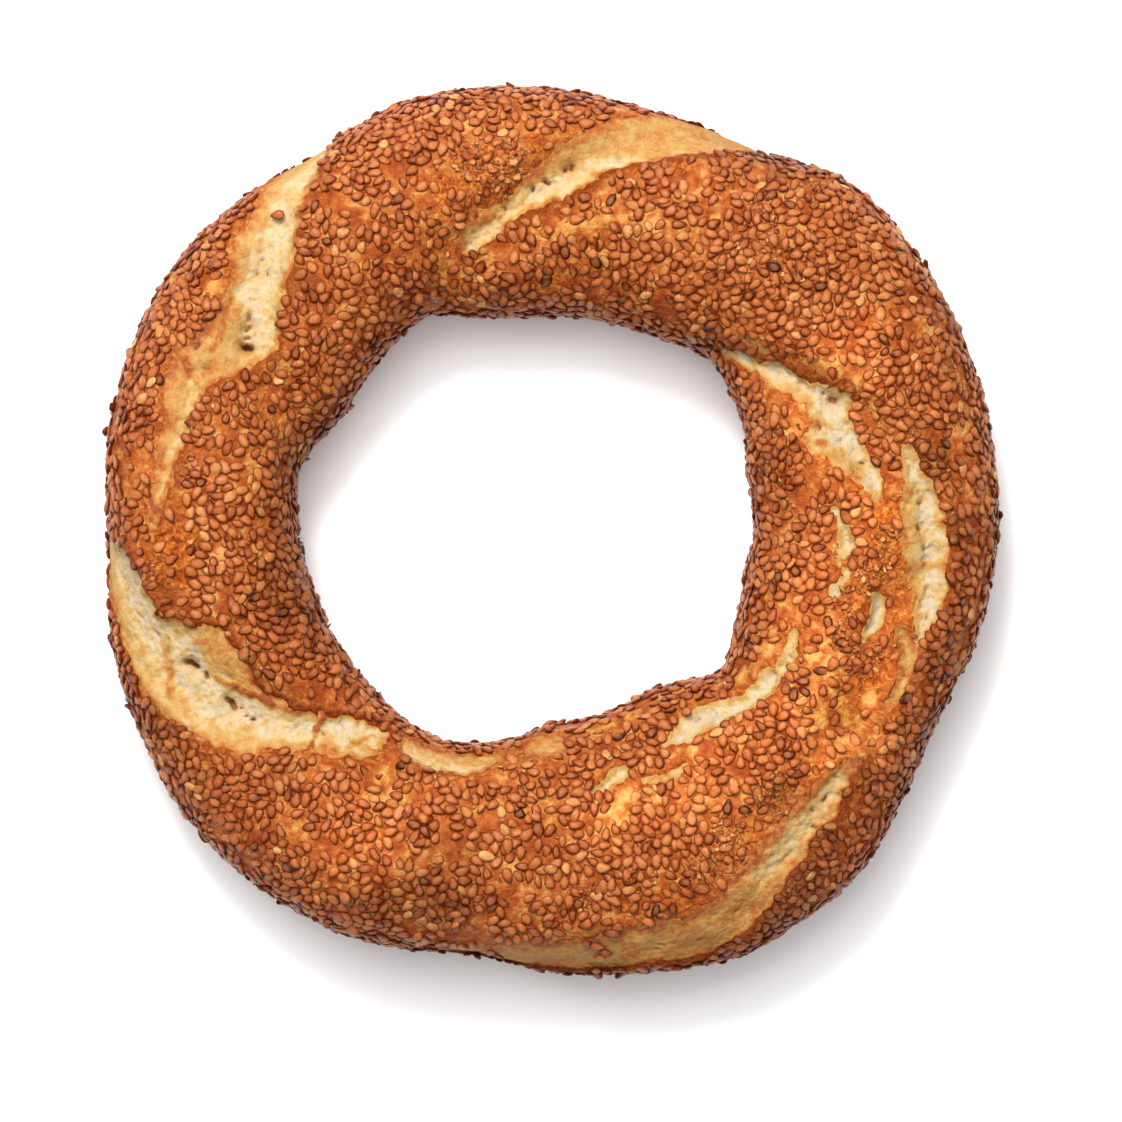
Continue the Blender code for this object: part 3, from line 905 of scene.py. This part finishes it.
def lay_seeds():
    """Every seed's place, turn, size, tone and roast, the roast with painted shade on the sides away from the light.
    """
    direction, turn = scatter(SEEDS_PER_MM2, seeds_wanted)
    spin = rng.random(len(direction)) * math.tau
    out, rest = 0.0, 0.75 * MM
    direction, turn, spin, worst = settle(direction, turn, spin, out, rest)
    on_top = worst > 0.45 * MM
    extra = (rng.random(len(spin)) < HEAPED_SHARE) & (np.sin(np.radians(turn)) > -0.2)
    tear = areas_distance(direction, turn, TEARS, far=6 * MM)
    extra &= tear > 1.6 * MM
    direction = np.concatenate([direction, (direction[extra] + rng.normal(0, 1.2, extra.sum())) % 360])
    turn = np.concatenate([turn, (turn[extra] + rng.normal(0, 3.5, extra.sum())) % 360])
    spin = np.concatenate([spin, rng.random(extra.sum()) * math.tau])
    on_top = np.concatenate([on_top, np.ones(extra.sum(), bool)]) & (np.sin(np.radians(turn)) > -0.3)
    plain = dough(direction, turn)
    lift = swell(plain) - COAT + 0.14 * MM
    lift = lift + np.where(on_top, 0.34 * MM, 0) + rng.normal(0, 0.06, len(lift)) * MM
    at, normal, along, _ = frame_at(direction, turn, lift, rest)
    east = along / np.linalg.norm(along, axis=-1, keepdims=True)
    below = np.abs((turn - 270 + 180) % 360 - 180) < 64
    tilt = np.where(on_top, 0.30, 0.17) * np.where(below, 0.1, 1)
    angles = turned(normal, east, spin, rng.normal(0, 1, len(spin)) * tilt, rng.normal(0, 1, len(spin)) * tilt)
    grow = np.clip(rng.normal(1, 0.09, len(spin)), 0.74, 1.2)
    size = np.stack(
        [
            grow * rng.normal(1, 0.06, len(spin)) * SEED_WIDTH / 2,
            np.where(below, 0.65, 1) * grow * np.clip(rng.normal(1, 0.1, len(spin)), 0.8, 1.2) * SEED_THICKNESS / 2,
            grow * rng.normal(1, 0.05, len(spin)) * SEED_LENGTH / 2,
        ],
        axis=1,
    )
    tone = 0.52 + 0.14 * rng.normal(0, 1, len(spin)) + 0.16 * grain(plain, 9 * MM, 70)
    odd = rng.random(len(spin))
    tone = np.clip(tone + np.where(odd < 0.010, 0.35, 0) - np.where(odd > 0.982, 0.4, 0), 0, 1)
    return {"at": at, "turn": angles, "size": size, "tone": tone, "baked": baked(direction, turn)}


# ---------------------------------------------------------------------------------------------------------
# Nodes
# ---------------------------------------------------------------------------------------------------------


def colour(code):
    """An sRGB hex code as linear red, green, blue and alpha."""
    channels = [int(code[k : k + 2], 16) / 255 for k in (0, 2, 4)]
    return tuple(c / 12.92 if c <= 0.04045 else ((c + 0.055) / 1.055) ** 2.4 for c in channels) + (1.0,)


def add(tree, kind, inputs=None, out=0, stops=(), **settings):
    """Add a node and give its output socket out.

    inputs maps a socket's name or number to a value or to the socket that feeds it. stops are the positions
    and hex colours of a colour ramp.
    """
    node = tree.nodes.new(kind)
    for name, value in settings.items():
        setattr(node, name, value)
    for key, value in (inputs or {}).items():
        if isinstance(value, bpy.types.NodeSocket):
            tree.links.new(value, node.inputs[key])
        else:
            node.inputs[key].default_value = value
    while stops and len(node.color_ramp.elements) < len(stops):
        node.color_ramp.elements.new(0.5)
    for k, (position, code) in enumerate(stops):
        node.color_ramp.elements[k].position = position
        node.color_ramp.elements[k].color = colour(code)
    return node.outputs[out] if node.outputs else None


def new_material(name):
    material = bpy.data.materials.new(name)
    material.use_nodes = True
    material.node_tree.nodes.clear()
    return material, material.node_tree


# ---------------------------------------------------------------------------------------------------------
# Materials
# ---------------------------------------------------------------------------------------------------------


def glazed_crust():
    """Wheat dough dipped in watered molasses and baked: a thin, half-glossy brown skin.

    It browns unevenly, from golden where it was stretched last to red-brown where the syrup pooled. A broken
    edge is the darkest, and crust that only stretched thin goes through orange to gold.
    """
    material, tree = new_material("molasses_glazed_crust")
    where = add(tree, "ShaderNodeTexCoord", out="Object")
    noises = {}
    for label, size, detail, warp in (
        ("broad", 8.0 * MM, 3.0, 0.0),
        ("patch", 2.2 * MM, 4.0, 0.3),
        ("wrinkle", 1.3 * MM, 3.0, 0.8),
        ("fine", 0.6 * MM, 3.0, 0.0),
    ):
        inputs = {"Vector": where, "Scale": 1 / size, "Detail": detail, "Roughness": 0.58, "Distortion": warp}
        noises[label] = add(tree, "ShaderNodeTexNoise", inputs)
    paints = {}
    for label, noise_label, stops in (
        ("syrup", "wrinkle", ((0.36, "6A280C"), (0.46, "8E4212"), (0.56, "AA5C1E"), (0.68, "BC7C34"))),
        ("golden", "patch", ((0.35, "92501C"), (0.50, "B27634"), (0.64, "C08E50"))),
        ("flakes", "fine", ((0.36, "4A1A08"), (0.48, "823C14"), (0.60, "B07038"))),
        ("orange", "wrinkle", ((0.36, "76300C"), (0.47, "944618"), (0.57, "A65C26"), (0.68, "B47A42"))),
        ("stretched", "patch", ((0.38, "A2622A"), (0.50, "B47C3E"), (0.62, "C29A5E"))),
        ("torn", "fine", ((0.40, "5E1E08"), (0.60, "8E3E10"))),
        ("inside", "patch", ((0.40, "A86A2C"), (0.60, "B88040"))),
    ):
        paints[label] = add(tree, "ShaderNodeValToRGB", {0: noises[noise_label]}, stops=stops)

    share = add(tree, "ShaderNodeMath", {0: noises["broad"], 1: 0.45}, operation="MULTIPLY")
    mottle = add(tree, "ShaderNodeMath", {0: noises["patch"], 1: 0.55, 2: share}, operation="MULTIPLY_ADD")
    stops = ((0.36, "7A3414"), (0.43, "8A3F18"), (0.48, "984B1E"), (0.54, "A65E2A"), (0.60, "B88244"))
    base = add(tree, "ShaderNodeValToRGB", {0: mottle}, stops=stops)

    # Each finish shows where its own measure on the skin, roughened by a noise, is past a limit.
    for measure, noise_label, weight, low, high, strength, paint in (
        ("glaze", "patch", 0.8, 0.50, 1.10, 0.9, "syrup"),
        ("bare", "patch", 0.6, 0.35, 0.85, 0.9, "golden"),
        ("crushed", "fine", 0.6, 0.40, 1.10, 0.7, "flakes"),
        ("beside", "wrinkle", 1.4, 0.80, 1.50, 0.85, "orange"),
        ("stretched", "wrinkle", 1.0, 0.65, 1.20, 1.0, "stretched"),
        ("broken", "fine", 1.2, 0.80, 1.50, 0.85, "torn"),
        ("sunk", "fine", 0.2, 0.15, 0.90, 1.0, "inside"),
    ):
        value = add(tree, "ShaderNodeAttribute", out="Fac", attribute_name=measure)
        value = add(tree, "ShaderNodeMath", {0: noises[noise_label], 1: weight, 2: value}, operation="MULTIPLY_ADD")
        inputs = {"Value": value, "From Min": low, "From Max": high, "To Max": strength}
        share = add(tree, "ShaderNodeMapRange", inputs, interpolation_type="SMOOTHSTEP")
        base = add(tree, "ShaderNodeMix", {0: share, 6: base, 7: paints[paint]}, out=2, data_type="RGBA")

    # Darker by the roast map, which also holds painted shade on the sides that face away from the light; lighter
    # where baked golden.
    baked = add(tree, "ShaderNodeAttribute", out="Fac", attribute_name="baked")
    inputs = {"Value": baked, "From Min": -1.0, "From Max": 1.0, "To Min": 1.30, "To Max": 0.72}
    base = add(tree, "ShaderNodeHueSaturation", {"Color": base, "Value": add(tree, "ShaderNodeMapRange", inputs)})

    height = add(tree, "ShaderNodeMath", {0: noises["fine"], 1: 0.15, 2: noises["wrinkle"]}, operation="MULTIPLY_ADD")
    normal = add(tree, "ShaderNodeBump", {"Strength": 1.0, "Distance": 0.65 * MM, "Height": height})
    inputs = {"Value": noises["fine"], "From Min": 0.3, "From Max": 0.7, "To Min": 0.42, "To Max": 0.62}
    dull = add(tree, "ShaderNodeMapRange", inputs)
    inputs = {"Base Color": base, "Normal": normal, "Roughness": dull, "IOR": 1.46, "Specular IOR Level": 0.07}
    add(tree, "ShaderNodeOutputMaterial", {"Surface": add(tree, "ShaderNodeBsdfPrincipled", inputs)})
    return material


def torn_bread():
    """The inside of the loaf where it tore: stretched, matt, fleecy wheat crumb.

    It is nearly white where it opened last, cream to golden where it had time to dry and brown, with small toasted
    flecks. Its pores are painted dark brown inside, and its hollows darker, as painted shade.
    """
    material, tree = new_material("torn_wheat_crumb")
    where = add(tree, "ShaderNodeTexCoord", out="Object")
    noises = {}
    for label, size, detail, warp in (
        ("patch", 3.0 * MM, 4.0, 0.3),
        ("fleece", 1.2 * MM, 4.0, 0.5),
        ("fine", 0.7 * MM, 3.0, 0.0),
    ):
        inputs = {"Vector": where, "Scale": 1 / size, "Detail": detail, "Roughness": 0.6, "Distortion": warp}
        noises[label] = add(tree, "ShaderNodeTexNoise", inputs)
    measures = {}
    for label in ("browned", "pore_shade", "hollow", "soft"):
        measures[label] = add(tree, "ShaderNodeAttribute", out="Fac", attribute_name=label)

    # Browning wanders by a fleck's width and by a patch's.
    browned = measures["browned"]
    for label, weight in (("patch", 0.8), ("fleece", 0.9)):
        browned = add(tree, "ShaderNodeMath", {0: noises[label], 1: weight, 2: browned}, operation="MULTIPLY_ADD")
    inputs = {"Value": browned, "From Min": 0.85, "From Max": 1.85}
    base = add(tree, "ShaderNodeValToRGB", {0: add(tree, "ShaderNodeMapRange", inputs)}, stops=(
        (0.00, "AFA38C"), (0.12, "B6A27B"), (0.30, "B08E54"), (0.50, "A87B3F"), (0.68, "A2652B"), (0.83, "98501F"),
        (0.97, "86401A"),
    ))
    for value, low, high, strength, paint in (
        (noises["fleece"], 0.52, 0.36, 0.34, "B07E42"),
        (noises["fine"], 0.62, 0.74, 0.45, "A86C34"),
        # Painted shade in the crumb's hollows and inside its pores.
        (measures["hollow"], 0.0, 1.0, 0.5, "AC7E4E"),
        (measures["pore_shade"], 0.2, 0.85, 0.9, "7A4220"),
    ):
        inputs = {"Value": value, "From Min": low, "From Max": high, "To Max": strength}
        share = add(tree, "ShaderNodeMapRange", inputs, interpolation_type="SMOOTHSTEP")
        base = add(tree, "ShaderNodeMix", {0: share, 6: base, 7: colour(paint)}, out=2, data_type="RGBA")

    height = add(tree, "ShaderNodeMath", {0: noises["fleece"], 1: noises["fine"]}, operation="ADD")
    normal = add(tree, "ShaderNodeBump", {"Strength": 0.6, "Distance": 0.45 * MM, "Height": height})
    inputs = {"Base Color": base, "Normal": normal, "Roughness": 0.75, "Specular IOR Level": 0.25}
    inputs.update({"Subsurface Weight": 0.1, "Subsurface Radius": (1.0, 0.6, 0.3), "Subsurface Scale": 0.5 * MM})
    add(tree, "ShaderNodeOutputMaterial", {"Surface": add(tree, "ShaderNodeBsdfPrincipled", inputs)})
    return material


def toasted_sesame():
    """Hulled sesame, toasted in the syrup: a smooth seed coat with a soft sheen.

    Each seed has its own brown. Its top is painted lighter as a painted highlight and its rim darker as painted shade
    where it meets the crust, and its point is a little darker too.
    """
    material, tree = new_material("toasted_sesame")
    where = add(tree, "ShaderNodeTexCoord", out="Object")
    inputs = {"Vector": where, "Scale": 1 / (0.8 * MM), "Detail": 3.0, "Roughness": 0.55}
    streak = add(tree, "ShaderNodeTexNoise", inputs)
    measures = {}
    for label in ("tone", "upwards", "along", "baked"):
        measures[label] = add(tree, "ShaderNodeAttribute", out="Fac", attribute_name=label)
    tone = add(tree, "ShaderNodeMath", {0: streak, 1: 0.7, 2: measures["tone"]}, operation="MULTIPLY_ADD")
    inputs = {"Value": tone, "From Min": 0.35, "From Max": 1.35}
    base = add(tree, "ShaderNodeValToRGB", {0: add(tree, "ShaderNodeMapRange", inputs)}, stops=(
        (0.02, "2C120C"), (0.18, "581C0A"), (0.38, "823612"), (0.56, "954A20"), (0.76, "A66030"), (1.0, "BE8C50"),
    ))
    for measure, low, high, strength, paint in (
        # Painted highlight: the top of each seed is lighter.
        ("upwards", 0.60, 0.98, 0.36, "B47844"),
        ("along", 0.30, 1.0, 0.35, "702C0C"),
        # Painted shade: each seed's rim, where it meets the crust, is darker.
        ("upwards", 0.70, 0.15, 0.85, "481403"),
    ):
        inputs = {"Value": measures[measure], "From Min": low, "From Max": high, "To Max": strength}
        share = add(tree, "ShaderNodeMapRange", inputs, interpolation_type="SMOOTHSTEP")
        base = add(tree, "ShaderNodeMix", {0: share, 6: base, 7: colour(paint)}, out=2, data_type="RGBA")
    # Darker by the roast map, which also holds painted shade on the sides that face away from the light.
    inputs = {"Value": measures["baked"], "From Min": -1.0, "From Max": 1.0, "To Min": 1.30, "To Max": 0.74}
    base = add(tree, "ShaderNodeHueSaturation", {"Color": base, "Value": add(tree, "ShaderNodeMapRange", inputs)})
    normal = add(tree, "ShaderNodeBump", {"Strength": 0.8, "Distance": 0.25 * MM, "Height": streak})
    inputs = {"Base Color": base, "Normal": normal, "Roughness": 0.28, "IOR": 1.47, "Specular IOR Level": 0.14}
    add(tree, "ShaderNodeOutputMaterial", {"Surface": add(tree, "ShaderNodeBsdfPrincipled", inputs)})
    return material


def white_board():
    """Matt white board under the bread: it only takes the soft shadow."""
    material, tree = new_material("matt_white_board")
    inputs = {"Base Color": colour("F0F0F0"), "Roughness": 0.9, "Specular IOR Level": 0.1}
    add(tree, "ShaderNodeOutputMaterial", {"Surface": add(tree, "ShaderNodeBsdfPrincipled", inputs)})
    return material


# ---------------------------------------------------------------------------------------------------------
# Seeds and flakes, by Geometry Nodes
# ---------------------------------------------------------------------------------------------------------


def point_cloud(name, places):
    """A mesh of loose points that carries each seed's turn, size, tone and bake, the bake with painted shade."""
    mesh = bpy.data.meshes.new(name)
    mesh.from_pydata(places["at"].tolist(), [], [])
    for label in ("turn", "size"):
        layer = mesh.attributes.new(label, "FLOAT_VECTOR", "POINT")
        layer.data.foreach_set("vector", places[label].astype(np.float32).ravel())
    for label in ("tone", "baked"):
        layer = mesh.attributes.new(label, "FLOAT", "POINT")
        layer.data.foreach_set("value", places[label].astype(np.float32))
    cloud = bpy.data.objects.new(name, mesh)
    bpy.context.scene.collection.objects.link(cloud)
    return cloud


def strewn_tree(name, flakes):
    """Geometry Nodes that put one seed, or one broken flake of seed, on every point.

    The inputs are the seed's taper and point, how deep and how wide its dents are, and the material.
    """
    tree = bpy.data.node_groups.new(name, "GeometryNodeTree")
    sockets = tree.interface
    sockets.new_socket("Geometry", in_out="INPUT", socket_type="NodeSocketGeometry")
    for label in ("Taper", "Point", "Dents", "Dent Size"):
        sockets.new_socket(label, in_out="INPUT", socket_type="NodeSocketFloat")
    sockets.new_socket("Material", in_out="INPUT", socket_type="NodeSocketMaterial")
    sockets.new_socket("Geometry", in_out="OUTPUT", socket_type="NodeSocketGeometry")
    given = tree.nodes.new("NodeGroupInput").outputs

    if flakes:
        ball = add(tree, "GeometryNodeMeshIcoSphere", {"Radius": 1.0, "Subdivisions": 1})
    else:
        ball = add(tree, "GeometryNodeMeshUVSphere", {"Segments": 8, "Rings": 6, "Radius": 1.0})
        ball = add(tree, "GeometryNodeTransform", {"Geometry": ball, "Rotation": (0, 0, math.pi / 8)})
    split = tree.nodes.new("ShaderNodeSeparateXYZ")
    tree.links.new(add(tree, "GeometryNodeInputPosition"), split.inputs[0])
    x, y, z = split.outputs
    shared = z
    for operation, first, second in (
        ("POWER", z, 3.0),
        ("MULTIPLY", None, given["Point"]),
    ):
        shared = add(tree, "ShaderNodeMath", {0: shared if first is None else first, 1: second}, operation=operation)
    shared = add(tree, "ShaderNodeMath", {0: z, 1: given["Taper"], 2: shared}, operation="MULTIPLY_ADD")
    shared = add(tree, "ShaderNodeMath", {0: 1.0, 1: shared}, operation="SUBTRACT")
    narrow = [add(tree, "ShaderNodeMath", {0: side, 1: shared}, operation="MULTIPLY") for side in (x, y)]
    drop = add(tree, "ShaderNodeCombineXYZ", {0: narrow[0], 1: narrow[1], 2: z})
    body = add(tree, "GeometryNodeSetPosition", {"Geometry": ball, "Position": drop})
    for label, value in (("along", z), ("upwards", y)):
        inputs = {"Geometry": body, "Name": label, "Value": value}
        body = add(tree, "GeometryNodeStoreNamedAttribute", inputs, data_type="FLOAT", domain="POINT")

    inputs = {"Points": add(tree, "GeometryNodeMeshToPoints", {"Mesh": given["Geometry"]}), "Instance": body}
    for socket, label in (("Rotation", "turn"), ("Scale", "size")):
        inputs[socket] = add(tree, "GeometryNodeInputNamedAttribute", {"Name": label}, data_type="FLOAT_VECTOR")
    laid = add(tree, "GeometryNodeRealizeInstances", {0: add(tree, "GeometryNodeInstanceOnPoints", inputs)})
    finer = add(tree, "ShaderNodeMath", {0: 1.0, 1: given["Dent Size"]}, operation="DIVIDE")
    dents = add(tree, "ShaderNodeTexNoise", {"Scale": finer, "Detail": 1.0}, out="Color")
    centred = add(tree, "ShaderNodeVectorMath", {0: dents, 1: (0.5, 0.5, 0.5)}, operation="SUBTRACT")
    shove = add(tree, "ShaderNodeVectorMath", {0: centred, "Scale": given["Dents"]}, operation="SCALE")
    uneven = add(tree, "GeometryNodeSetPosition", {"Geometry": laid, "Offset": shove})
    smooth_faces = add(tree, "GeometryNodeSetShadeSmooth", {"Geometry": uneven, "Shade Smooth": not flakes})
    finished = add(tree, "GeometryNodeSetMaterial", {"Geometry": smooth_faces, "Material": given["Material"]})
    add(tree, "NodeGroupOutput", {0: finished})
    return tree


def grown(cloud, tree, settings, name):
    """The plain mesh that the tree makes of a cloud of points."""
    modifier = cloud.modifiers.new("seeds", "NODES")
    modifier.node_group = tree
    for item in tree.interface.items_tree:
        if item.item_type == "SOCKET" and item.in_out == "INPUT" and item.name in settings:
            modifier[item.identifier] = settings[item.name]
    depsgraph = bpy.context.evaluated_depsgraph_get()
    depsgraph.update()
    mesh = bpy.data.meshes.new_from_object(cloud.evaluated_get(depsgraph))
    mesh.name = name
    piece = bpy.data.objects.new(name, mesh)
    bpy.context.scene.collection.objects.link(piece)
    points = cloud.data
    bpy.data.objects.remove(cloud)
    bpy.data.meshes.remove(points)
    return piece


def flakes_wanted(direction, turn):
    """The share of full cover that broken flakes of seed reach at a place."""
    tear, _ = areas_distance(direction, turn, TEARS, far=6 * MM, edges=SOFT_EDGES)
    share = 0.03 + np.sqrt(spots(direction, turn, CRUSHED)) * 0.8
    return share * step_between(tear, 0.0, 1.0 * MM) * (np.sin(np.radians(turn)) > -0.3)


def make_flakes(material):
    """Broken flakes of seed baked onto the crust."""
    direction, turn = scatter(FLAKES_PER_MM2, flakes_wanted)
    plain = dough(direction, turn)
    count = len(direction)
    lift = swell(plain) - COAT + rng.uniform(0.0, 0.3, count) * MM
    at, normal, along, _ = frame_at(direction, turn, lift, 0.7 * MM)
    east = along / np.linalg.norm(along, axis=-1, keepdims=True)
    spin = rng.random(count) * math.tau
    angles = turned(normal, east, spin, rng.normal(0, 0.45, count), rng.normal(0, 0.45, count))
    size = rng.uniform(0.4, 1.0, count)[:, None] * rng.uniform(0.6, 1.3, (count, 3)) * (0.85, 0.28, 1.1) * MM
    tone = np.clip(rng.normal(0.66, 0.2, count), 0, 1)
    places = {"at": at, "turn": angles, "size": size, "tone": tone, "baked": baked(direction, turn)}
    settings = {"Taper": 0.0, "Point": 0.0, "Dents": 0.9 * MM, "Dent Size": 0.6 * MM, "Material": material}
    return grown(point_cloud("flake_points", places), strewn_tree("seed_flakes", True), settings, "crushed_sesame")


def make_seeds(material):
    """The coat of sesame, in one piece for each kind of seed."""
    seeds = lay_seeds()
    tree = strewn_tree("sesame_seeds", False)
    kinds = {
        "round": {"Taper": 0.20, "Point": 0.08, "Dents": 0.36 * MM},
        "drop": {"Taper": 0.32, "Point": 0.15, "Dents": 0.30 * MM},
        "pointed": {"Taper": 0.38, "Point": 0.28, "Dents": 0.32 * MM},
        "shrivelled": {"Taper": 0.26, "Point": 0.10, "Dents": 0.75 * MM},
    }
    chosen = rng.choice(len(kinds), size=len(seeds["tone"]), p=(0.32, 0.30, 0.18, 0.20))
    pieces = []
    for k, (kind, settings) in enumerate(kinds.items()):
        picked = {label: values[chosen == k] for label, values in seeds.items()}
        settings = dict(settings, Material=material)
        settings["Dent Size"] = 1.1 * MM
        pieces.append(grown(point_cloud(kind + "_points", picked), tree, settings, "sesame_" + kind))
    return pieces


# ---------------------------------------------------------------------------------------------------------
# Stage
# ---------------------------------------------------------------------------------------------------------


def make_stage():
    """A white board, a lamp in a large window behind the bread, a soft light overhead, and a lens above."""
    mesh = bpy.data.meshes.new("board")
    half = 2.0
    mesh.from_pydata([(-half, -half, 0), (half, -half, 0), (half, half, 0), (-half, half, 0)], [], [(0, 1, 2, 3)])
    mesh.materials.append(white_board())
    board = bpy.data.objects.new("board", mesh)
    bpy.context.scene.collection.objects.link(board)

    world = bpy.data.worlds.new("studio")
    world.use_nodes = True
    world.node_tree.nodes["Background"].inputs["Color"].default_value = colour("FFFFFF")
    world.node_tree.nodes["Background"].inputs["Strength"].default_value = 0.205
    bpy.context.scene.world = world

    for name, place, size, power in (
        ("window", (-0.27, 0.69, 1.05), 1.2, 17.0),
        ("lamp", (-0.20, 0.71, 1.05), 0.32, 12.0),
        ("overhead", (0.0, 0.0, 1.6), 1.6, 19.0),
    ):
        lamp = bpy.data.lights.new(name, "AREA")
        lamp.size = size
        lamp.energy = power
        light = bpy.data.objects.new(name, lamp)
        light.location = place
        light.rotation_euler = (-Vector(place)).to_track_quat("-Z", "Y").to_euler()
        bpy.context.scene.collection.objects.link(light)

    distance, level, width = 1.1, 16 * MM, 218.8 * MM
    lens = bpy.data.cameras.new("above")
    lens.sensor_width = 36.0
    lens.lens = lens.sensor_width * distance / width
    lens.clip_start = 0.01
    camera = bpy.data.objects.new("above", lens)
    camera.location = (1.85 * MM, -5.85 * MM, level + distance)
    bpy.context.scene.collection.objects.link(camera)
    bpy.context.scene.camera = camera
    bpy.context.scene.view_settings.view_transform = "Standard"


def main():
    make_stage()
    crust = make_crust(glazed_crust())
    crumb = make_crumb(torn_bread())
    sesame = toasted_sesame()
    seeds = make_seeds(sesame) + [make_flakes(sesame)]
    for piece in [crust, crumb] + seeds:
        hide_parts(RING)
        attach(piece, "root")
    for piece in [crust, crumb] + seeds:
        print(piece.name, sum(len(face.vertices) - 2 for face in piece.data.polygons), "triangles")


main()
